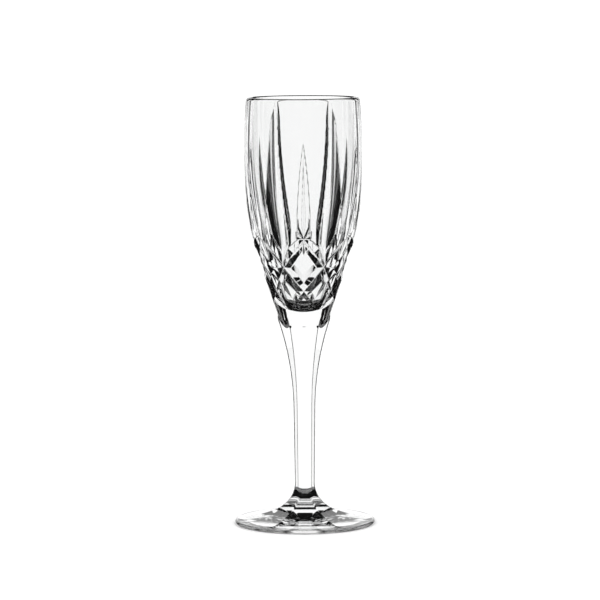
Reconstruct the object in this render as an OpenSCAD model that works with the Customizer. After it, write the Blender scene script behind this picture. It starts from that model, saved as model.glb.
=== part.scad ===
// Champagne flute in cut crystal.
// Three gathers of glass, fused end to end while hot: a foot, a six-sided stem and a cut bowl.
// The foot rests on Z = 0, the flute stands along +Z, and the widest cuts lie on the X axis.
// Heights are measured from the resting plane, unless a comment says otherwise.

/* [Foot] */
// Radius of the foot
foot_r = 36.2; // [28:0.1:44]
// Thickness of the foot at its edge, which is a full round
foot_edge = 2.1; // [1.6:0.1:3]
// Height of the joint between the foot and the stem
foot_h = 16.6; // [15:0.1:20]
// Radius of the fillet that sweeps from the stem down into the foot, along a corner of the stem
foot_fillet = 13.4; // [10:0.1:15]
// Radius of the long dish of the foot's top, along a corner of the stem
foot_dish = 104; // [80:1:150]
// Radius of the long dish of the foot's top, along the middle of a flat
foot_flat_dish = 57; // [50:1:80]
// Width of the flat ring that the foot rests on
rest_ring = 5; // [2:0.1:8]
// Height of the hollow under the foot, at its middle
underside_rise = 2; // [0.5:0.1:3]

/* [Stem] */
// Length of the stem between its two joints
stem_len = 81.4; // [60:0.1:100]
// Half of the width across two opposite flats, at the slimmest place
stem_flat = 4.42; // [3.6:0.01:5.4]
// Height of the slimmest place, where the fillet of the foot starts
stem_waist_z = 21; // [20:0.1:24]
// How much the half width grows along the straight lower part of the stem
stem_taper = 0.45; // [0.2:0.01:1]
// Length of that straight part
stem_straight = 39; // [30:0.5:45]
// Half of the width across two opposite flats, at the joint with the bowl
stem_top = 9.62; // [9:0.01:10.4]

/* [Bowl] */
// Length of the bowl from its joint with the stem to the rim
bowl_len = 122; // [102:0.1:150]
// Greatest radius of the bowl
belly_r = 30.6; // [27:0.1:36]
// Height of the belly above the joint, as a share of the bowl's length
belly_share = 0.754; // [0.7:0.001:0.8]
// Radius of the long curve of the barrel, seen from the side, on a bowl of the usual length
barrel_arc = 300; // [250:5:500]
// Height above the joint where the shoulder leaves the barrel, as a share of the bowl's length
shoulder_share = 0.4705; // [0.46:0.0005:0.49]
// Radius of the shoulder, seen from the side
shoulder_arc = 40; // [20:1:60]
// Radius of the round end of the bowl, where it sits in the stem
nose_r = 13.6; // [12:0.1:15]
// Height of the middle of the round end above the joint
nose_up = 12.9; // [12:0.1:13.2]

/* [Inside of the bowl] */
// Radius of the inside at the rim
cavity_r = 26.3; // [23:0.1:27]
// Height above the joint where the inside starts to close in, as a share of the bowl's length
cavity_turn_share = 0.8115; // [0.79:0.0005:0.85]
// Radius of the long curve of the inside, seen from the side, on a bowl of the usual length
cavity_arc = 200; // [180:1:220]
// Radius of the round bottom of the inside
cavity_nose_r = 11; // [9:0.1:13]

/* [Cuts] */
// Number of cuts of each kind round the bowl
cut_count = 6; // [6]
// Angle between the two faces of every V-shaped cut
cut_angle = 120; // [110:1:130]
// Depth of a tall cut where the shoulder starts
tall_depth = 4.2; // [3:0.1:4.6]
// Lean of the bottom line of a tall cut at that place, away from upright
tall_lean = 11.1; // [10:0.1:13]
// Distance from the rim down to the point of a tall cut
tall_gap = 3; // [2:0.1:8]
// Lean of the bottom line of a tall cut at its point, as the wheel lifts off
tall_lift = 3.2; // [2:0.1:5]
// Radius of the bottom line of a tall cut, seen from the side, on a bowl of the usual length
tall_arc = 243; // [220:1:300]
// Distance that a tall cut runs on below the crossing of two slanted cuts
tall_tail = 3; // [1:0.1:5]
// Lean of the bottom line of a tall cut at its lower end
tall_end_lean = 6; // [3:0.5:9]
// Distance from the rim down to the point of a short cut
short_gap = 21; // [15:0.1:30]
// Lean of the bottom line of a short cut at its point
short_lean = 3.4; // [3:0.1:5]
// Radius of the bottom line of a short cut, seen from the side, on a bowl of the usual length
short_arc = 700; // [500:10:900]
// Height above the joint where the slanted cuts cross on a tall cut, as a share of the bowl's length
lattice_share = 0.295; // [0.27:0.0005:0.31]
// Angle between a slanted cut and the upright
lattice_slant = 39; // [35:0.5:42]
// Depth of a slanted cut at its middle
lattice_depth = 2.3; // [1.5:0.1:2.6]
// How much deeper the slanted cuts of the second hand go, as they are cut over the first
lattice_second = 0.06; // [0.04:0.01:0.3]
// Radius of the bottom line of a slanted cut
lattice_arc = 56; // [52:1:62]
// Lean of the bottom line of a slanted cut at its middle, so that its lower end goes deeper
lattice_dive = 1.5; // [0:0.1:2.5]
// Reach of a slanted cut to each side of its middle, beyond where it has left the glass
lattice_reach = 34; // [30:1:40]

/* [Hidden] */
$fn = 180;

SIDES = 6;
RING_FN = 720;
FACE_STEP = 360 / SIDES;
// A corner of a six-sided section stands this much further out than the middle of a flat
CORNER = 1 / cos(FACE_STEP / 2);
// Cutters reach this far past what they cut
OVER = 1;
BARREL_STEPS = 8;
SHOULDER_STEPS = 2;
// Near the stem the outline along a corner stays this far outside the ridges, so the flats alone shape them
RIDGE_ROOM = 0.6;
FILLET_STEPS = 4;
FOOT_FILLET_STEPS = 12;
FOOT_DISH_STEPS = 8;
FLARE_STEPS = 10;

joint_z = foot_h + stem_len;
rim_z = joint_z + bowl_len;
lattice_z = joint_z + lattice_share * bowl_len;

// Along a longer bowl every long arc grows flatter, so that it keeps its shape
USUAL_BOWL_LEN = 122;
stretch = bowl_len / USUAL_BOWL_LEN;
flatter = stretch * stretch;

// Outline of the barrel
belly_z = joint_z + belly_share * bowl_len;
barrel_side = barrel_arc * flatter;
function barrel_r(z) = belly_r - barrel_side + sqrt(pow(barrel_side, 2) - pow(z - belly_z, 2));

// The shoulder arc touches the barrel at its top and the cone at its bottom
shoulder_z = joint_z + shoulder_share * bowl_len;
shoulder_turn = asin((belly_z - shoulder_z) / barrel_side);
shoulder_c = [
    barrel_r(shoulder_z) - shoulder_arc * cos(shoulder_turn),
    shoulder_z + shoulder_arc * sin(shoulder_turn)
];
// The cone touches the shoulder and the round end of the bowl
nose_z = joint_z + nose_up;
nose_gap = shoulder_c - [0, nose_z];
cone_angle = acos((nose_r - shoulder_arc) / norm(nose_gap)) - atan2(nose_gap[1], nose_gap[0]);
cone_top = shoulder_c + shoulder_arc * [cos(cone_angle), -sin(cone_angle)];
nose_touch_r = nose_r * cos(cone_angle);
nose_touch_z = nose_z - nose_r * sin(cone_angle);
function cone_r(z) = cone_top[0] - (cone_top[1] - z) * tan(cone_angle);

// The rim is a full round as wide as the wall
rim_outer = barrel_r(rim_z);
rim_round = (rim_outer - cavity_r) / 2;
rim_round_z = rim_z - rim_round;

// The long curve of the inside touches the round bottom
cavity_turn_z = joint_z + cavity_turn_share * bowl_len;
cavity_side = cavity_arc * flatter;
cavity_c = [cavity_r - cavity_side, cavity_turn_z];
cavity_nose_z = cavity_turn_z - sqrt(pow(cavity_side - cavity_nose_r, 2) - pow(cavity_c[0], 2));
cavity_touch_z = cavity_turn_z
    - (cavity_turn_z - cavity_nose_z) * cavity_side / (cavity_side - cavity_nose_r);

// Outline of the stem, across its flats: the flare leaves the taper smoothly and ends at the joint
stem_slope = atan(stem_taper / stem_straight);
flare_z = stem_waist_z + stem_straight;
flare_start = [stem_flat + stem_taper, flare_z];
flare_run = [stem_top, joint_z] - flare_start;
flare_way = [cos(stem_slope), -sin(stem_slope)];
stem_flare = flare_run * flare_run / (2 * flare_run * flare_way);
flare_c = flare_start + stem_flare * flare_way;

// Outline of the foot's top: a fillet that touches a long dish, which meets the edge
edge_r = foot_edge / 2;
edge_p = [foot_r - edge_r, foot_edge];
corner_fillet_c = [stem_flat * CORNER + foot_fillet + RIDGE_ROOM, stem_waist_z];
flat_fillet = foot_fillet * CORNER;
flat_fillet_c = [stem_flat + flat_fillet, stem_waist_z];

// The flats of the foot's top run out a little further, so they fade before they reach the edge
flat_edge_p = [foot_r, foot_edge];

// Centre of the dish of radius dish_r that holds the fillet (centre c, radius r) and passes through p
function dish_centre(c, r, dish_r, p) =
    let (
        gap = p - c,
        d = norm(gap),
        u = gap / d,
        along = (pow(dish_r - r, 2) - pow(dish_r, 2) + d * d) / (2 * d),
        across = sqrt(pow(dish_r - r, 2) - along * along)
    )
    c + along * u + across * [-u[1], u[0]];

// Half of the angle of a V-shaped cutter, and how far the cutters stand out from their edges
half_cut = cut_angle / 2;
reach = 9;
tall_reach = 22;

module slab(x, z0, z1) {
    translate([0, z0])
        square([x, z1 - z0]);
}

// Area above the foot's top, to the right of the stem
module above_foot(c, r, dish_r, p) {
    dish_c = dish_centre(c, r, dish_r, p);
    touch_x = dish_c[0] + (c[0] - dish_c[0]) * dish_r / (dish_r - r);
    translate(c)
        circle(r = r);
    intersection() {
        translate(dish_c)
            circle(r = dish_r, $fn = RING_FN);
        translate([touch_x, foot_edge])
            square([foot_r, foot_h + OVER]);
    }
}

// Half section of the foot across two opposite flats, as a fillet and a dish ground in short flats
module foot_flats_section() {
    dish_c = dish_centre(flat_fillet_c, flat_fillet, foot_flat_dish, flat_edge_p);
    side = foot_r + OVER;
    top_turn = asin((stem_waist_z - foot_h) / flat_fillet);
    touch_turn = atan2(dish_c[1] - flat_fillet_c[1], dish_c[0] - flat_fillet_c[0]);
    side_turn = acos((dish_c[0] - side) / foot_flat_dish);
    polygon(concat(
        [[0, foot_h]],
        arc_points(flat_fillet_c, flat_fillet, 180 + top_turn, 180 + touch_turn, FOOT_FILLET_STEPS),
        arc_points(dish_c, foot_flat_dish, 180 + touch_turn, 180 + side_turn, FOOT_DISH_STEPS),
        [[side, -OVER], [0, -OVER]]
    ));
}

// Half section of the stem's flare across its flats, between two heights
module flare_section(z0, z1) {
    difference() {
        slab(3 * stem_flat, z0, z1);
        translate(flare_c)
            circle(r = stem_flare, $fn = RING_FN);
    }
}

// Half section of the stem across its flats: the end of the foot's fillet, a straight taper, then the flare.
// Its curves are ground in short flats, within two hundredths of a millimetre of a true arc.
module stem_section() {
    fillet_turn = asin((stem_waist_z - foot_h) / flat_fillet);
    flare_turn = asin((joint_z - flare_c[1]) / stem_flare);
    polygon(concat(
        [[0, joint_z], [0, foot_h]],
        arc_points(flat_fillet_c, flat_fillet, 180 + fillet_turn, 180, FILLET_STEPS),
        arc_points(flare_c, stem_flare, 180 - stem_slope, 180 - flare_turn, FLARE_STEPS)
    ));
}

// A six-sided solid: three bars of the same outline, turned a third of a half turn each
module six_sided(wide) {
    intersection_for (i = [0 : SIDES / 2 - 1])
        rotate([0, 0, FACE_STEP * (i + 0.5)])
            rotate([90, 0, 0])
                linear_extrude(height = 2 * wide, center = true) {
                    children();
                    mirror([1, 0])
                        children();
                }
}

module foot_blank() {
    rotate_extrude() {
        difference() {
            slab(edge_p[0], 0, foot_h + OVER);
            above_foot(corner_fillet_c, foot_fillet, foot_dish, edge_p);
        }
        translate([edge_p[0], edge_r])
            circle(r = edge_r);
    }
}

// The hollow under the foot is a shallow dome, cut from a large ball
module foot_hollow() {
    hollow_r = edge_p[0] - rest_ring;
    ball_r = (hollow_r * hollow_r + underside_rise * underside_rise) / (2 * underside_rise);
    rotate_extrude()
        intersection() {
            translate([0, underside_rise - ball_r])
                circle(r = ball_r, $fn = RING_FN);
            slab(foot_r, -OVER, foot_h);
        }
}

module foot() {
    color("aliceblue")
        difference() {
            intersection() {
                foot_blank();
                rotate_extrude($fn = SIDES)
                    scale([CORNER, 1])
                        foot_flats_section();
            }
            foot_hollow();
        }
}

module stem() {
    color("lightcyan")
        rotate_extrude($fn = SIDES)
            scale([CORNER, 1])
                stem_section();
}

// Points on an arc about c, from one angle to another
function arc_points(c, r, from, to, steps) =
    [for (i = [0 : steps]) let (a = from + (to - from) * i / steps) c + r * [cos(a), sin(a)]];

// Half section of the blown bowl before it is hollow, down to its round end.
// The barrel and the shoulder are turned as short cones, which the cuts cross cleanly.
module blank_section() {
    polygon(concat(
        [[0, nose_touch_z], [nose_touch_r, nose_touch_z]],
        arc_points(shoulder_c, shoulder_arc, -cone_angle, -shoulder_turn, SHOULDER_STEPS),
        [for (i = [1 : BARREL_STEPS])
            let (z = shoulder_z + (rim_round_z - shoulder_z) * i / BARREL_STEPS)
            [barrel_r(z), z]],
        [[0, rim_round_z]]
    ));
    intersection() {
        translate([0, nose_z])
            circle(r = nose_r);
        slab(nose_r, joint_z, nose_touch_z);
    }
    translate([rim_outer - rim_round, rim_round_z])
        circle(r = rim_round);
}

module cavity_section() {
    slab(cavity_r, cavity_turn_z, rim_round_z);
    slab(rim_outer - rim_round, cavity_turn_z, rim_z + OVER);
    intersection() {
        translate(cavity_c)
            circle(r = cavity_side, $fn = RING_FN);
        slab(cavity_r, cavity_touch_z, cavity_turn_z);
    }
    intersection() {
        translate([0, cavity_nose_z])
            circle(r = cavity_nose_r);
        slab(cavity_nose_r, cavity_nose_z - cavity_nose_r, cavity_touch_z);
    }
}

// A V-edged cutter whose edge is an arc of radius r, in the XZ plane.
// The edge passes through the point at radius px and height pz, where it leans out by lean degrees.
// It runs down and up from there by the two lengths, and the V opens away from the axis.
module v_arc(r, px, pz, lean, down, up, out = reach) {
    down_turn = down / r * 180 / PI;
    up_turn = up / r * 180 / PI;
    translate([px - r * cos(lean), 0, pz - r * sin(lean)])
        rotate([90, 0, 0])
            rotate_extrude(start = lean - down_turn, angle = down_turn + up_turn, $fn = RING_FN)
                polygon([
                    [r, 0],
                    [r + out, -out * tan(half_cut)],
                    [r + out, out * tan(half_cut)]
                ]);
}

// One long cut: the wheel runs down the barrel, and it leaves the glass below the rim
// and on the crossing of two slanted cuts
module tall_cut() {
    tip_z = rim_z - tall_gap;
    tip_down = tip_z - lattice_z;
    foot_z = lattice_z - tall_tail;
    tall_side = tall_arc * flatter;
    intersection() {
        v_arc(tall_side, barrel_r(shoulder_z) - tall_depth, shoulder_z, -tall_lean / stretch,
            shoulder_z - foot_z + OVER, rim_z - shoulder_z, tall_reach);
        v_arc(tall_side, barrel_r(tip_z), tip_z, -tall_lift / stretch,
            tip_down + reach, tall_gap + OVER, tall_reach);
        v_arc(tall_side, cone_r(foot_z), foot_z, -tall_end_lean / stretch, OVER, tip_down + reach, tall_reach);
    }
}

module short_cut() {
    tip_z = rim_z - short_gap;
    v_arc(short_arc * flatter, barrel_r(tip_z), tip_z, -short_lean / stretch, tip_z - lattice_z, reach);
}

// One slanted cut, tilted to lie square on the cone of the lower bowl
module slant_cut(depth) {
    translate([cone_r(lattice_z), 0, lattice_z])
        rotate([0, cone_angle, 0])
            rotate([lattice_slant, 0, 0])
                v_arc(lattice_arc, -depth, 0, -lattice_dive, lattice_reach, lattice_reach);
}

// One cut repeated round the bowl, the first of them turned away from the X axis
module cut_round(turn) {
    for (i = [0 : cut_count - 1])
        rotate([0, 0, turn + i * 360 / cut_count])
            children();
}

// The bowl before it is cut, with the six-sided boss that the stem is fused to
module bowl_blank() {
    rotate_extrude()
        difference() {
            blank_section();
            cavity_section();
        }
    intersection() {
        six_sided(3 * stem_flat)
            flare_section(joint_z, nose_z);
        translate([0, 0, joint_z])
            cylinder(r = nose_r, h = nose_z - joint_z);
    }
}

// The slanted cuts of one hand, then of the other, as a cutter works through them
module latticed_bowl() {
    difference() {
        difference() {
            bowl_blank();
            cut_round(0)
                slant_cut(lattice_depth);
        }
        cut_round(0)
            mirror([0, 1, 0])
                slant_cut(lattice_depth + lattice_second);
    }
}

module bowl() {
    color("azure")
        difference() {
            difference() {
                latticed_bowl();
                cut_round(0)
                    tall_cut();
            }
            cut_round(180 / cut_count)
                short_cut();
        }
}

foot();
stem();
bowl();
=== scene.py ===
# %% [markdown]
# # A cut crystal champagne flute
# The flute is three gathers of clear crystal, fused end to end while they were hot: a foot, a six-sided
# stem and a bowl with a lattice of V-shaped cuts. This lesson builds a fine glass surface for each of
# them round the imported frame, then lights them against a white field, as glass is usually shown.
# Sizes in the shape cells are in millimetres, because a glass cutter thinks in them.

# %% Load the frame
import bpy
import math
import numpy as np
from mathutils import Matrix, Vector


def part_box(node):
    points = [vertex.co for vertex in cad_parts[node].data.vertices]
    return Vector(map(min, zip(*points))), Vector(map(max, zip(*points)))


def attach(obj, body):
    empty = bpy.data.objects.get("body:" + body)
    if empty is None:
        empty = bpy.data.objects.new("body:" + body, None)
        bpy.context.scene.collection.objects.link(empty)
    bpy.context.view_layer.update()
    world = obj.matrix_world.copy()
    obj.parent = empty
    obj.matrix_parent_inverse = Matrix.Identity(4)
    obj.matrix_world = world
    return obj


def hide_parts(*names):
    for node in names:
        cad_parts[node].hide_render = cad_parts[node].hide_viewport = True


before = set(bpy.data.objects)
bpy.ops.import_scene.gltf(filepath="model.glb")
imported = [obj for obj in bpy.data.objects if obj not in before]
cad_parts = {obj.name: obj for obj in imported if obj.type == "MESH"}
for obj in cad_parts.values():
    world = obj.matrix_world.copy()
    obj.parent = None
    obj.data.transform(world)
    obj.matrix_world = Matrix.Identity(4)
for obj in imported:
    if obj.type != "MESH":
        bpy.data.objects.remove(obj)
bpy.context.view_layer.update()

MM = 0.001
bowl_low, bowl_high = [np.array(corner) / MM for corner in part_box("bowl")]
foot_high = np.array(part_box("foot")[1]) / MM
foot_joint = foot_high[2]
bowl_joint = bowl_low[2]
rim = bowl_high[2]
print("joints at", round(foot_joint, 1), "and", round(bowl_joint, 1), "mm, rim at", round(rim, 1), "mm")

# %% [markdown]
# ## Curves that the maker thinks in
# Every outline of a turned glass is a few arcs that run into each other, so each one is written as a
# radius for a height. A real cutter also never leaves a razor edge: acid polishing rounds it by about a
# tenth of a millimetre. The soft minimum does that where two cut faces meet.

# %% Arcs and soft edges
def arc_out(height, centre, radius):
    """Radius of a turned surface that bulges away from the axis"""
    return centre[0] + np.sqrt(np.maximum(radius ** 2 - (height - centre[1]) ** 2, 0))


def arc_in(height, centre, radius):
    """Radius of a turned surface that is hollow, as a fillet is"""
    return centre[0] - np.sqrt(np.maximum(radius ** 2 - (height - centre[1]) ** 2, 0))


def soft_min(a, b, softness):
    """The smaller of two radii, rounded off where they come within the softness of each other"""
    blend = np.clip(softness - np.abs(a - b), 0, None) / softness
    return np.minimum(a, b) - blend ** 2 * softness / 4


def soft_max(a, b, softness):
    return -soft_min(-a, -b, softness)


# %% [markdown]
# ## Six sides
# Everything on this flute comes six times: the flats of the stem, the tall cuts and the short ones. So
# one function gives the angle from the nearest of six places. A section with six flats is then
# the nearer of two flats beside a corner, and the soft minimum takes the edge off it.

# %% Six places and six flats
SIXTH = math.pi / 3
HALF_SIXTH = math.radians(30)
CORNER = 1 / math.cos(HALF_SIXTH)


def nearest_turn(angle, offset):
    """Angle in radians from the nearest of six places round the glass"""
    return (angle - offset + SIXTH / 2) % SIXTH - SIXTH / 2


def six_sided(angle, half_flat, softness):
    """Radius of a section with six flats and its corners on the X axis, which stay where they are"""
    turn = np.abs(nearest_turn(angle, HALF_SIXTH))
    half_flat = half_flat + softness / 4 / CORNER
    return soft_min(half_flat / np.cos(turn), half_flat / np.cos(math.radians(60) - turn), softness)


print("a corner is", round(CORNER, 3), "times as far out as a flat")

# %% [markdown]
# ## Outline of the bowl
# The bowl is blown as a barrel that turns at a shoulder into a straight-sided cone with a round end. The
# barrel is hardly curved, and the shoulder is tight. The six-sided top of the stem laps a little way up
# the round end, which gives the scalloped line under the bowl.

# %% The blown bowl
BELLY, BARREL_ARC, BELLY_HEIGHT = 30.6, 300.0, bowl_joint + 92
SHOULDER_HEIGHT, SHOULDER_ARC, CONE = bowl_joint + 57.4, 40.0, math.radians(18.8)
NOSE = 13.6

barrel_centre = (BELLY - BARREL_ARC, BELLY_HEIGHT)
shoulder_turn = math.asin((BELLY_HEIGHT - SHOULDER_HEIGHT) / BARREL_ARC)
shoulder_start = float(arc_out(SHOULDER_HEIGHT, barrel_centre, BARREL_ARC))
shoulder_centre = (
    shoulder_start - SHOULDER_ARC * math.cos(shoulder_turn),
    SHOULDER_HEIGHT + SHOULDER_ARC * math.sin(shoulder_turn),
)
cone_top = (
    shoulder_centre[0] + SHOULDER_ARC * math.cos(CONE),
    shoulder_centre[1] - SHOULDER_ARC * math.sin(CONE),
)
nose_touch = cone_top[1] - (cone_top[0] - NOSE * math.cos(CONE)) / math.tan(CONE)
nose_height = nose_touch + NOSE * math.sin(CONE)


def cone_radius(height):
    return cone_top[0] - (cone_top[1] - height) * math.tan(CONE)


def blown(height):
    """Radius of the bowl before it is cut: barrel, shoulder, cone and round end"""
    radius = arc_out(height, barrel_centre, BARREL_ARC)
    radius = np.where(height < SHOULDER_HEIGHT, arc_out(height, shoulder_centre, SHOULDER_ARC), radius)
    radius = np.where(height < cone_top[1], cone_radius(height), radius)
    return np.where(height < nose_touch, arc_out(height, (0, nose_height), NOSE), radius)


print("belly", BELLY, "shoulder", round(shoulder_start, 2), "cone top", np.round(cone_top, 2))

# %% [markdown]
# ## Where the stem laps up the bowl
# The stem opens in one long flare that leaves its taper smoothly. The same flare runs on for a few
# millimetres above the joint, as the six-sided boss that the stem was fused to. The blown shape and the
# boss are joined with a soft maximum, because hot glass leaves no crease there.

# %% Flare and boss
STEM_FLAT, STEM_WAIST, STEM_TAPER, STEM_STRAIGHT, STEM_FLARE = 4.42, 21.0, 0.45, 39.0, 170.0
STEM_SOFT = 2.0
JOIN_SOFT = 0.3

taper_turn = math.atan(STEM_TAPER / STEM_STRAIGHT)
flare_height = STEM_WAIST + STEM_STRAIGHT
flare_centre = (
    STEM_FLAT + STEM_TAPER + STEM_FLARE * math.cos(taper_turn),
    flare_height - STEM_FLARE * math.sin(taper_turn),
)


def bowl_blank(angle, height):
    boss = six_sided(angle, arc_in(height, flare_centre, STEM_FLARE), STEM_SOFT)
    boss = soft_min(boss, NOSE + 0 * boss, JOIN_SOFT)
    return np.where(height < nose_height, soft_max(blown(height), boss, JOIN_SOFT), blown(height))


print("half flat at the joint", round(float(arc_in(bowl_joint, flare_centre, STEM_FLARE)), 2))

# %% [markdown]
# ## Tall and short cuts
# A cutter holds the bowl against a wheel with a V-shaped edge. Each cut is therefore a V of about 120
# degrees whose bottom line is an arc. Six tall cuts run from the rim to the lattice, and six short ones
# stand between them. Seen from above, the face of a V is straight, so its radius follows from the
# angle beside the bottom line.

# %% Upright cuts
CUT_SLOPE = 1 / math.tan(math.radians(60))
LATTICE_HEIGHT = bowl_joint + 36
TALL_GAP, TALL_TAIL, TALL_DEPTH, TALL_ARC = 3, 3, 4.2, 243
TALL_LEAN, TALL_LIFT, TALL_END_LEAN = 11.1, 3.2, 6
SHORT_GAP, SHORT_LEAN, SHORT_ARC = 21, 3.4, 700
WHEEL_SOFT = 0.4
CLEAR_OF_GLASS = 99.0


def wheel_line(height, through, lean, radius):
    """Radius of a cut's bottom line: an arc through a point, leaning by some degrees from upright"""
    lean = math.radians(lean)
    centre = (through[0] - radius * math.cos(lean), through[1] + radius * math.sin(lean))
    return arc_out(height, centre, radius)


def upright_cut(angle, offset, line):
    turn = nearest_turn(angle, offset)
    return line / (np.cos(turn) - np.abs(np.sin(turn)) * CUT_SLOPE)


def tall_line(height):
    """Bottom line of a tall cut: a point under the rim, a long deep run and a steep end"""
    tip, end = rim - TALL_GAP, LATTICE_HEIGHT - TALL_TAIL
    deepest = (float(blown(SHOULDER_HEIGHT)) - TALL_DEPTH, SHOULDER_HEIGHT)
    deep = wheel_line(height, deepest, TALL_LEAN, TALL_ARC)
    lift = wheel_line(height, (float(blown(tip)), tip), TALL_LIFT, TALL_ARC)
    leave = wheel_line(height, (cone_radius(end), end), TALL_END_LEAN, TALL_ARC)
    line = soft_max(soft_max(deep, lift, WHEEL_SOFT), leave, WHEEL_SOFT)
    return np.where(height < end, CLEAR_OF_GLASS, line)


def short_line(height):
    tip = rim - SHORT_GAP
    return wheel_line(height, (float(blown(tip)), tip), SHORT_LEAN, SHORT_ARC)


depth = float(blown(SHOULDER_HEIGHT) - tall_line(SHOULDER_HEIGHT))
print("a tall cut at the shoulder is", round(depth, 2), "mm deep")

# %% [markdown]
# ## The lattice
# Slanted cuts of both hands cross on the cone. A hand-held bowl turns on the wheel as it is cut, so each
# cut keeps one angle to the upright, and winds up the cone as a spiral. It crosses a cut of the other
# hand three times: twice on a tall cut's line, and once between. The glass that stays is whatever no
# wheel has reached, so the outer radius is the least of all the cuts.

# %% Slanted cuts and the finished outside
SLANT = math.radians(39.2)
SLANT_RADIUS, SLANT_RISE, SLANT_BEND = 19.95, 0.342, 0.0027
LOW_END_RADIUS, LOW_END_UP, LOW_END_RISE = 15.1, -21, 0.115
HIGH_END_RADIUS, HIGH_END_UP, HIGH_END_RISE = 28.3, 19.5, 0.6
SLANT_SOFT = 0.3
CROSSING_SOFT = 0.05
ARRIS = 0.14
LATTICE_TOP = rim - 50
SMALLEST_CONE = 5


def slanted_line(height):
    """Radius of a slanted cut's bottom line: it dives down the cone and lifts off at both ends"""
    up = height - LATTICE_HEIGHT
    line = SLANT_RADIUS + SLANT_RISE * up + SLANT_BEND * up ** 2
    line = soft_max(line, LOW_END_RADIUS + LOW_END_RISE * (up - LOW_END_UP), SLANT_SOFT)
    return soft_max(line, HIGH_END_RADIUS + HIGH_END_RISE * (up - HIGH_END_UP), SLANT_SOFT)


def slanted_cut(angle, height, hand):
    """Radius of the six slanted cuts of one hand, which keep one angle to the upright as they wind"""
    share = np.maximum(cone_radius(height), SMALLEST_CONE) / cone_radius(LATTICE_HEIGHT)
    turned = np.log(share) / math.sin(CONE)
    aside = blown(height) * np.abs(nearest_turn(angle, hand * turned * math.tan(SLANT)))
    return slanted_line(height) + aside * math.cos(SLANT) * CUT_SLOPE / math.cos(CONE)


def cut_bowl(angle, height):
    radius = bowl_blank(angle, height)
    radius = soft_min(radius, upright_cut(angle, 0, tall_line(height)), ARRIS)
    radius = soft_min(radius, upright_cut(angle, HALF_SIXTH, short_line(height)), ARRIS)
    slants = soft_min(slanted_cut(angle, height, 1), slanted_cut(angle, height, -1), CROSSING_SOFT)
    return np.where(height < LATTICE_TOP, soft_min(radius, slants, ARRIS), radius)


for check in (208, 177, 155.5, 134, 121.4):
    cuts = [float(cut_bowl(np.array(math.radians(a)), np.array(float(check)))) for a in (0, 15, 30)]
    print("height", check, "radius on a tall cut, beside it and on a short cut", np.round(cuts, 2))

# %% [markdown]
# ## Columns and normals
# A surface of rings follows the glass more finely than the cuts' own edges. Its columns crowd together on
# the bottom line of each cut, where the light turns sharply. The normals come from the shape itself and
# not from the facets, so the highlights stay clean.

# %% Columns and normals
def columns(half):
    """Angles round the glass from a list for the first 30 degrees, mirrored and repeated six times"""
    sector = list(half) + [30] + [60 - a for a in half[:0:-1]]
    return np.radians([60 * i + a for i in range(6) for a in sector])


def ring_normals(shape, angle, height):
    """Outward normals of a surface given as a radius for an angle and a height"""
    step_a, step_z = 0.001, 0.02
    radius = shape(angle, height)
    by_angle = (shape(angle + step_a, height) - shape(angle - step_a, height)) / (2 * step_a)
    by_height = (shape(angle, height + step_z) - shape(angle, height - step_z)) / (2 * step_z)
    out = np.stack([np.cos(angle), np.sin(angle), 0 * angle], -1)
    round_ = np.stack([-np.sin(angle), np.cos(angle), 0 * angle], -1)
    normal = out - round_ * (by_angle / radius)[..., None]
    normal[..., 2] -= by_height
    return normal / np.linalg.norm(normal, axis=-1, keepdims=True)


def round_outline(middle, radius, turns, side=1):
    """Radius, height and lean of points on an arc; side is -1 where the arc is a hollow in the glass"""
    leans = [(math.cos(turn), math.sin(turn)) for turn in turns]
    return [
        (middle[0] + radius * out, middle[1] + radius * up, (side * out, side * up))
        for out, up in leans
    ]


# %% [markdown]
# ## From a radius to a closed surface
# Skin collects the rings and joins them. Each gather becomes one closed surface. The faces where
# two gathers were fused get a material that light passes straight through, because there is no surface
# inside fused glass. The finished pieces cast no shadow: clear glass throws hardly any on white paper.

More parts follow.
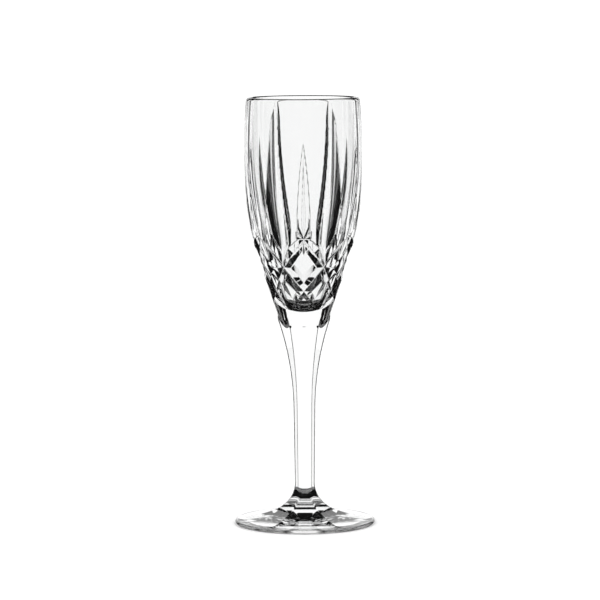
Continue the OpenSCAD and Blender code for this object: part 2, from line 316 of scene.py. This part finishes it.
# %% Ring surfaces
class Skin:
    """Collects rings of points with normals, and joins them into one closed surface"""

    def __init__(self):
        self.points, self.normals, self.faces, self.fused, self.count = [], [], [], [], 0

    def ring(self, angle, radius, height, normal=None, lean=None):
        radius, height = radius + 0 * angle, height + 0 * angle
        if normal is None:
            out = [np.cos(angle) * lean[0], np.sin(angle) * lean[0], lean[1] + 0 * angle]
            normal = np.stack(out, -1)
        self.points.append(np.stack([radius * np.cos(angle), radius * np.sin(angle), height], -1))
        self.normals.append(normal)
        start, self.count = self.count, self.count + len(angle)
        return np.arange(start, self.count)

    def tip(self, height, lean):
        self.points.append(np.array([[0, 0, height]]))
        self.normals.append(np.array([[0, 0, lean]]))
        self.count += 1
        return self.count - 1

    def band(self, low, high):
        """Joins two rings; the second may have a third of the first one's points"""
        if len(low) == len(high):
            self.faces += np.stack([low, np.roll(low, -1), np.roll(high, -1), high], -1).tolist()
            return
        for i in range(len(high)):
            a, b, c, d = low[3 * i], low[3 * i + 1], low[3 * i + 2], low[(3 * i + 3) % len(low)]
            near, far = high[i], high[(i + 1) % len(high)]
            self.faces += [[a, b, near], [b, c, far, near], [c, d, far]]

    def fan(self, ring, tip, fused=False):
        if fused:
            self.fused += range(len(self.faces), len(self.faces) + len(ring))
        self.faces += np.stack([ring, np.roll(ring, -1), np.full(len(ring), tip)], -1).tolist()

    def stack(self, shape, angles, heights):
        """Rings of a shape at the given heights, joined; returns the first ring and the last"""
        angle, height = np.meshgrid(angles, heights)
        radius, normal = shape(angle, height), ring_normals(shape, angle, height)
        rings = [self.ring(angles, radius[i], heights[i], normal[i]) for i in range(len(heights))]
        for low, high in zip(rings, rings[1:]):
            self.band(low, high)
        return rings[0], rings[-1]

    def trace(self, last, angles, outline):
        """A ring for each radius, height and lean, joined on from the last ring"""
        for radius, height, lean in outline:
            ring = self.ring(angles, radius, height, lean=lean)
            self.band(last, ring)
            last = ring
        return last

    def piece(self, name, node, slot_name, materials, downward=False):
        """Makes the mesh; a skin that was built from the top down has its faces turned over"""
        points, normals = np.concatenate(self.points) * MM, np.concatenate(self.normals)
        if downward:
            self.faces = [face[::-1] for face in self.faces]
        mesh = bpy.data.meshes.new(name)
        mesh.from_pydata(points.tolist(), [], self.faces)
        mesh.polygons.foreach_set("use_smooth", [True] * len(self.faces))
        for material in materials:
            mesh.materials.append(material)
        index = np.zeros(len(self.faces), dtype=np.int32)
        index[self.fused] = 1
        mesh.polygons.foreach_set("material_index", index)
        mesh.update()
        mesh.normals_split_custom_set_from_vertices(normals.tolist())
        piece = bpy.data.objects.new(name, mesh)
        bpy.context.scene.collection.objects.link(piece)
        piece.visible_shadow = False
        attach(piece, "root")
        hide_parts(node)
        print(name, len(points), "points,", sum(len(face) - 2 for face in self.faces), "triangles")


# %% [markdown]
# ## Node maths as plain expressions
# A finish is easier to read as a formula than as a list of nodes. Wrap holds one socket, and the usual
# operators on it add the matching Math node. Any other node comes from the node method.

# %% Expressions for nodes
class Wrap:
    def __init__(self, tree, socket):
        self.tree, self.socket = tree, socket

    def node(self, kind, settings=None, out=0, **inputs):
        """Adds a node: its settings first, then values or links by socket name, or by number as _0"""
        made = self.tree.nodes.new(kind)
        for key, value in (settings or {}).items():
            setattr(made, key, value)
        for key, value in inputs.items():
            target = made.inputs[int(key[1:]) if key[0] == "_" else key.replace("_", " ")]
            if isinstance(value, Wrap):
                self.tree.links.new(value.socket, target)
            else:
                target.default_value = value
        return Wrap(self.tree, made.outputs[out])

    def maths(self, how, a, b):
        return self.node("ShaderNodeMath", {"operation": how}, _0=a, _1=b)

    def __add__(self, other): return self.maths("ADD", self, other)
    def __radd__(self, other): return self.maths("ADD", other, self)
    def __mul__(self, other): return self.maths("MULTIPLY", self, other)
    def __rmul__(self, other): return self.maths("MULTIPLY", other, self)
    def __pow__(self, other): return self.maths("POWER", self, other)
    def __rpow__(self, other): return self.maths("POWER", other, self)

    def into(self, target):
        """Links the result to a socket of the shader"""
        self.tree.links.new(self.socket, target)


def new_material(name):
    """A material with one Principled shader, and a Wrap to start its formulas from"""
    material = bpy.data.materials.new(name)
    material.use_nodes = True
    shader = material.node_tree.nodes["Principled BSDF"]
    return material, shader, Wrap(material.node_tree, None)


# %% [markdown]
# ## Polished crystal
# Crystal bends light a little more than window glass, with an index of about 1.54. Its surface isn't
# perfect: acid polishing leaves the cuts very slightly wavy, over some seven millimetres, with a finer
# grain on top, and handling leaves faint patches where the polish is softer. All are far too slight to
# see as a pattern, but they keep the light from looking computed.

# %% Crystal and fused joint
WAVES_A_METRE, GRAINS_A_METRE, PATCHES_A_METRE = 140.0, 900.0, 45.0
POLISH_RELIEF = 0.000012
CRYSTAL_TINT, CRYSTAL_INDEX = (0.993, 0.996, 0.995, 1), 1.54


def crystal():
    material, shader, start = new_material("polished_crystal")
    place = start.node("ShaderNodeTexCoord", out="Object")
    waves = start.node("ShaderNodeTexNoise", Vector=place, Scale=WAVES_A_METRE, Detail=2.0, Roughness=0.4)
    grain = start.node("ShaderNodeTexNoise", Vector=place, Scale=GRAINS_A_METRE, Detail=1.0)
    patches = start.node("ShaderNodeTexNoise", Vector=place, Scale=PATCHES_A_METRE, Detail=3.0)
    relief = waves * 0.9 + grain * 0.1
    bump = start.node("ShaderNodeBump", Height=relief, Strength=1.0, Distance=POLISH_RELIEF)
    bump.into(shader.inputs["Normal"])
    (0.004 + 0.012 * patches ** 3).into(shader.inputs["Roughness"])
    shader.inputs["Base Color"].default_value = CRYSTAL_TINT
    shader.inputs["IOR"].default_value = CRYSTAL_INDEX
    shader.inputs["Transmission Weight"].default_value = 1.0
    return material


def fused_joint():
    material, shader, _ = new_material("fused_joint")
    shader.inputs["Alpha"].default_value = 0.0
    return material


glass, fused = crystal(), fused_joint()
print("materials", glass.name, fused.name)

# %% [markdown]
# ## The bowl's outside and rim
# The outside follows the cut radius from the joint to the rim. Its rings lie closest on the lattice, where
# the cuts cross, and further apart up the plain barrel. The rim is a full round as wide as the wall.
# Half way over it, the columns drop to a third of their number, because the inside has nothing sharp.

# %% Bowl outside and rim
CAVITY = 26.3
rim_round = (float(blown(rim)) - CAVITY) / 2
rim_middle = (float(blown(rim)) - rim_round, rim - rim_round)

bowl_columns = columns([0, 0.12, 0.45] + np.linspace(1, 29, 34).tolist() + [29.55, 29.88])
inner_columns = bowl_columns[::3]
bowl_heights = np.concatenate([
    np.linspace(bowl_joint, bowl_joint + 14, 29)[:-1],
    np.linspace(bowl_joint + 14, bowl_joint + 62, 115)[:-1],
    np.linspace(bowl_joint + 62, bowl_joint + 82, 21)[:-1],
    np.linspace(bowl_joint + 82, rim_middle[1], 21),
])
bowl = Skin()
bowl_bottom, last = bowl.stack(cut_bowl, bowl_columns, bowl_heights)
rim_out, rim_in = [np.radians(np.linspace(turn, turn + 90, 6)[1:]) for turn in (0, 90)]
last = bowl.trace(last, bowl_columns, round_outline(rim_middle, rim_round, rim_out))
last = bowl.trace(last, inner_columns, round_outline(rim_middle, rim_round, rim_in))
print("the wall at the rim is", round(2 * rim_round, 2), "mm thick")

# %% [markdown]
# ## The bowl's inside
# The inside is what blowing leaves: straight for a little way, then one long curve that runs smoothly
# into a round bottom. No wheel reaches it.

# %% Bowl inside
CAVITY_ARC, CAVITY_NOSE, CAVITY_TURN = 200.0, 11.0, bowl_joint + 99
cavity_centre = (CAVITY - CAVITY_ARC, CAVITY_TURN)
nose_middle = CAVITY_TURN - math.sqrt((CAVITY_ARC - CAVITY_NOSE) ** 2 - cavity_centre[0] ** 2)
touch_turn = math.asin((CAVITY_TURN - nose_middle) / (CAVITY_ARC - CAVITY_NOSE))

straight = [(CAVITY, height, (-1.0, 0.0)) for height in np.linspace(rim_middle[1], CAVITY_TURN, 4)[1:]]
long_turns = -np.linspace(0, touch_turn, 32)[1:]
bottom_turns = -np.linspace(touch_turn, math.pi / 2, 15)[1:-1]
last = bowl.trace(last, inner_columns, straight)
last = bowl.trace(last, inner_columns, round_outline(cavity_centre, CAVITY_ARC, long_turns, side=-1))
last = bowl.trace(last, inner_columns, round_outline((0, nose_middle), CAVITY_NOSE, bottom_turns, side=-1))
bowl.fan(last, bowl.tip(nose_middle - CAVITY_NOSE, 1.0))
bowl.fan(bowl_bottom[::-1], bowl.tip(bowl_joint, -1.0), fused=True)
bowl.piece("bowl_glass", "bowl", "bowl_crystal", [glass, fused])

# %% [markdown]
# ## The stem
# The stem is drawn from its own gather and ground to six flats. It is slimmest just above the foot, and it
# opens in one long flare to meet the bowl. Its edges are softened by polishing, so the columns crowd
# together at the corners.

# %% Stem
edge_columns = columns([0, 0.3, 0.7, 1.2, 1.8, 2.6, 3.6, 4.8, 6.2] + list(range(8, 30, 2)))
CORNER_FILLET = 13.4
flat_fillet = CORNER_FILLET * CORNER
flat_fillet_centre = (STEM_FLAT + flat_fillet, STEM_WAIST)


def stem_shape(angle, height):
    half = np.where(
        height < STEM_WAIST,
        arc_in(height, flat_fillet_centre, flat_fillet),
        STEM_FLAT + STEM_TAPER * (height - STEM_WAIST) / STEM_STRAIGHT,
    )
    half = np.where(height > flare_height, arc_in(height, flare_centre, STEM_FLARE), half)
    return six_sided(angle, half, STEM_SOFT)


stem = Skin()
low, high = stem.stack(stem_shape, edge_columns, np.linspace(foot_joint, bowl_joint, 100))
stem.fan(high, stem.tip(bowl_joint, 1.0), fused=True)
stem.fan(low[::-1], stem.tip(foot_joint, -1.0), fused=True)
stem.piece("stem_glass", "stem", "stem_crystal", [glass, fused])

# %% [markdown]
# ## The sweep of the foot
# The foot's top runs out from the stem in a fillet, then in a long shallow dish. Along a corner of the stem
# it ends on the round edge. Along a flat it runs a little lower, so six soft ridges run down from
# the corners and fade before the edge.

# %% Foot sweep
FOOT, EDGE, REST_RING, RISE = foot_high[0], 2.1, 5.0, 2.0
CORNER_DISH, FLAT_DISH = 104, 57
RIDGE_SOFT, EDGE_SOFT, RIDGE_FADE = 0.4, 0.02, 9
edge_middle = (FOOT - EDGE / 2, EDGE / 2)
corner_fillet_centre = (STEM_FLAT * CORNER + CORNER_FILLET, STEM_WAIST)


def dish_centre(fillet_centre, fillet, dish, point):
    """Centre of the dish that holds the fillet and passes through a point near the edge"""
    gap = point - np.array(fillet_centre)
    distance = np.linalg.norm(gap)
    unit = gap / distance
    along = ((dish - fillet) ** 2 - dish ** 2 + distance ** 2) / (2 * distance)
    across = math.sqrt((dish - fillet) ** 2 - along ** 2)
    return np.array(fillet_centre) + along * unit + across * np.array([-unit[1], unit[0]])


def sweep(fillet_centre, fillet, dish, point):
    """The sweep of the foot's top as a radius for a height: a fillet, then a long dish"""
    centre = dish_centre(fillet_centre, fillet, dish, point)
    touch = centre[1] + (fillet_centre[1] - centre[1]) * dish / (dish - fillet)

    def radius(height):
        return np.where(height > touch, arc_in(height, fillet_centre, fillet), arc_in(height, centre, dish))

    return radius


corner_sweep = sweep(corner_fillet_centre, CORNER_FILLET, CORNER_DISH, np.array([edge_middle[0], EDGE]))
flat_sweep = sweep(flat_fillet_centre, flat_fillet, FLAT_DISH, np.array([FOOT, EDGE]))


def foot_shape(angle, height):
    softness = np.interp(height, [foot_joint - RIDGE_FADE, foot_joint], [RIDGE_SOFT, STEM_SOFT])
    flats = six_sided(angle, flat_sweep(height), softness)
    return soft_min(flats, corner_sweep(height) + 0 * flats, EDGE_SOFT)


print("half way down, the sweep's radius is", round(float(corner_sweep(foot_joint / 2)), 2))

# %% [markdown]
# ## The foot
# The edge is a full round. Underneath, the foot rests on a narrow flat ring round a shallow dome. The skin
# is built from the stem down and round to the middle of the underside, with its rings at even
# distances along the sweep.

# %% Foot
def heights_down(shape, top, bottom, count):
    """Heights at even distances along an outline, from top to bottom"""
    fine = np.linspace(top, bottom, 3000)
    radius = shape(fine)
    run = np.concatenate([[0], np.cumsum(np.hypot(np.diff(radius), np.diff(fine)))])
    return np.interp(np.linspace(0, run[-1], count), run, fine)


hollow = edge_middle[0] - REST_RING
ball = (hollow ** 2 + RISE ** 2) / (2 * RISE)


def dome_point(radius):
    """Radius, height and lean of a point on the dome under the foot, which is part of a large ball"""
    drop = math.sqrt(ball ** 2 - radius ** 2)
    return radius, RISE - ball + drop, (-radius / ball, -drop / ball)


foot = Skin()
top_heights = heights_down(corner_sweep, foot_joint, EDGE, 90)
foot_top, last = foot.stack(foot_shape, edge_columns, top_heights[:-1])
edge_turns = np.radians(np.linspace(90, -90, 14))
rest = [(radius, 0.0, (0.0, -1.0)) for radius in (hollow + REST_RING / 2, hollow + 0.08)]
dome = [dome_point(hollow * share) for share in [0.997] + np.linspace(0.96, 0.04, 22).tolist()]
last = foot.trace(last, edge_columns, round_outline(edge_middle, EDGE / 2, edge_turns) + rest + dome)
foot.fan(last, foot.tip(RISE, -1.0))
foot.fan(foot_top[::-1], foot.tip(foot_joint, 1.0), fused=True)
foot.piece("foot_glass", "foot", "foot_crystal", [glass, fused], downward=True)

# %% [markdown]
# ## Camera
# The flute is seen from a little above its rim, from about a metre and a half away. A long lens keeps its
# sides straight. The frame is square.

# %% Camera
EYE_ASIDE, EYE_DISTANCE, EYE_HEIGHT, AIM_HEIGHT = -0.002, 1.605, 0.281, 0.1158
HALF_FIELD, ROLL = math.radians(5.462), math.radians(0.3)
lens = bpy.data.cameras.new("camera")
lens.sensor_width = 36
lens.lens = lens.sensor_width / 2 / math.tan(HALF_FIELD)
lens.clip_end = 40
camera = bpy.data.objects.new("camera", lens)
bpy.context.scene.collection.objects.link(camera)
eye, aim = Vector((EYE_ASIDE, -EYE_DISTANCE, EYE_HEIGHT)), Vector((EYE_ASIDE, 0, AIM_HEIGHT))
look = (aim - eye).to_track_quat("-Z", "Y").to_matrix().to_4x4()
camera.matrix_world = Matrix.Translation(eye) @ look @ Matrix.Rotation(-ROLL, 4, "Z")
bpy.context.scene.camera = camera
bpy.context.view_layer.update()
print("lens", round(lens.lens, 1), "mm")

# %% [markdown]
# ## Bright field
# Glass has no colour of its own to light, so it is drawn by what it bends into view. The room and the
# paper are both white, and a little brighter than white, to make up for what the glass reflects
# away. The glass doesn't see the paper, or every low ray would come out flat and grey.

# %% Floor and room
PAPER_SIDE, PAPER_GLOW, ROOM_STRENGTH = 9, 0.14, 1.12


def plain_mesh(name, points, faces, material):
    mesh = bpy.data.meshes.new(name)
    mesh.from_pydata(points, [], faces)
    mesh.materials.append(material)
    thing = bpy.data.objects.new(name, mesh)
    bpy.context.scene.collection.objects.link(thing)
    return thing


paper, paper_shader, start = new_material("white_paper")
place = start.node("ShaderNodeTexCoord", out="Object")
fibre = start.node("ShaderNodeTexNoise", Vector=place, Scale=300.0, Detail=4.0)
start.node("ShaderNodeBump", Height=fibre, Strength=0.2, Distance=0.0001).into(paper_shader.inputs["Normal"])
paper_shader.inputs["Base Color"].default_value = (0.9, 0.9, 0.9, 1)
paper_shader.inputs["Roughness"].default_value = 1.0
paper_shader.inputs["Specular IOR Level"].default_value = 0.0
paper_shader.inputs["Emission Color"].default_value = (1, 1, 1, 1)
paper_shader.inputs["Emission Strength"].default_value = PAPER_GLOW
paper_corners = [(x * PAPER_SIDE, y * PAPER_SIDE, 0) for x, y in ((-1, -1), (1, -1), (1, 1), (-1, 1))]
floor = plain_mesh("floor", paper_corners, [(0, 1, 2, 3)], paper)
floor.visible_transmission = False
floor.visible_glossy = False

world = bpy.data.worlds.new("white_room")
bpy.context.scene.world = world
world.use_nodes = True
world.node_tree.nodes["Background"].inputs["Color"].default_value = (1, 1, 1, 1)
world.node_tree.nodes["Background"].inputs["Strength"].default_value = ROOM_STRENGTH
print("room strength", ROOM_STRENGTH)

# %% [markdown]
# ## Black flags
# Black felt cards give the glass its dark lines. On each side, a narrow one stands just outside the frame,
# where the steep edges of the glass find it, and a wide one runs round to behind the camera. One round
# card lies above and one below, for the cuts that throw light up or down. The cards hang from the
# camera, so every side of the flute is drawn the same way, and only the glass sees them.

# %% Flags
CARD_RADIUS, CARD_BOTTOM, CARD_TOP, LOW_CARD = 0.8, -0.6, 0.45, -0.35
GAP_TURNS, ROOM_TURNS = (31, 41), (56, 180)

felt, felt_shader, start = new_material("black_felt")
place = start.node("ShaderNodeTexCoord", out="Object")
nap = start.node("ShaderNodeTexNoise", Vector=place, Scale=200.0, Detail=3.0)
(0.85 + 0.1 * nap).into(felt_shader.inputs["Roughness"])
felt_shader.inputs["Base Color"].default_value = (0.006, 0.006, 0.006, 1)
felt_shader.inputs["Specular IOR Level"].default_value = 0.0


def carry(card):
    """Hangs a card from the camera, seen by the glass alone"""
    card.parent = camera
    card.matrix_parent_inverse = camera.matrix_world.inverted()
    card.visible_shadow = card.visible_diffuse = card.visible_camera = False


def side_flag(name, side, turns):
    """A curved upright card round the flute, between two angles in degrees from straight behind it"""
    turns = np.radians(np.linspace(side * turns[0], side * turns[1], 24))
    points = [
        (CARD_RADIUS * math.sin(t), CARD_RADIUS * math.cos(t), z)
        for t in turns for z in (CARD_BOTTOM, CARD_TOP)
    ]
    faces = [(2 * i, 2 * i + 1, 2 * i + 3, 2 * i + 2) for i in range(len(turns) - 1)]
    carry(plain_mesh(name, points, faces, felt))


def round_flag(name, height):
    """A flat round card over or under the flute"""
    turns = np.radians(np.arange(0, 360, 10))
    points = [(CARD_RADIUS * math.cos(t), CARD_RADIUS * math.sin(t), height) for t in turns]
    carry(plain_mesh(name, points, [range(len(turns))], felt))


for side, name in ((-1, "left"), (1, "right")):
    side_flag(name + "_gap_flag", side, GAP_TURNS)
    side_flag(name + "_room_flag", side, ROOM_TURNS)
round_flag("top_flag", CARD_TOP)
round_flag("low_flag", LOW_CARD)
print("cards at", CARD_RADIUS, "m, from", GAP_TURNS, "and", ROOM_TURNS, "degrees")

# %% [markdown]
# ## Colour and light paths
# A ray may cross a dozen walls of glass before it gets out, so it needs many steps. The standard view keeps
# the white field white.

# %% Light paths
GLASS_STEPS, MIRROR_STEPS = 32, 12
scene = bpy.context.scene
scene.view_settings.view_transform = "Standard"
scene.cycles.max_bounces = GLASS_STEPS
scene.cycles.transmission_bounces = GLASS_STEPS
scene.cycles.transparent_max_bounces = GLASS_STEPS
scene.cycles.glossy_bounces = MIRROR_STEPS
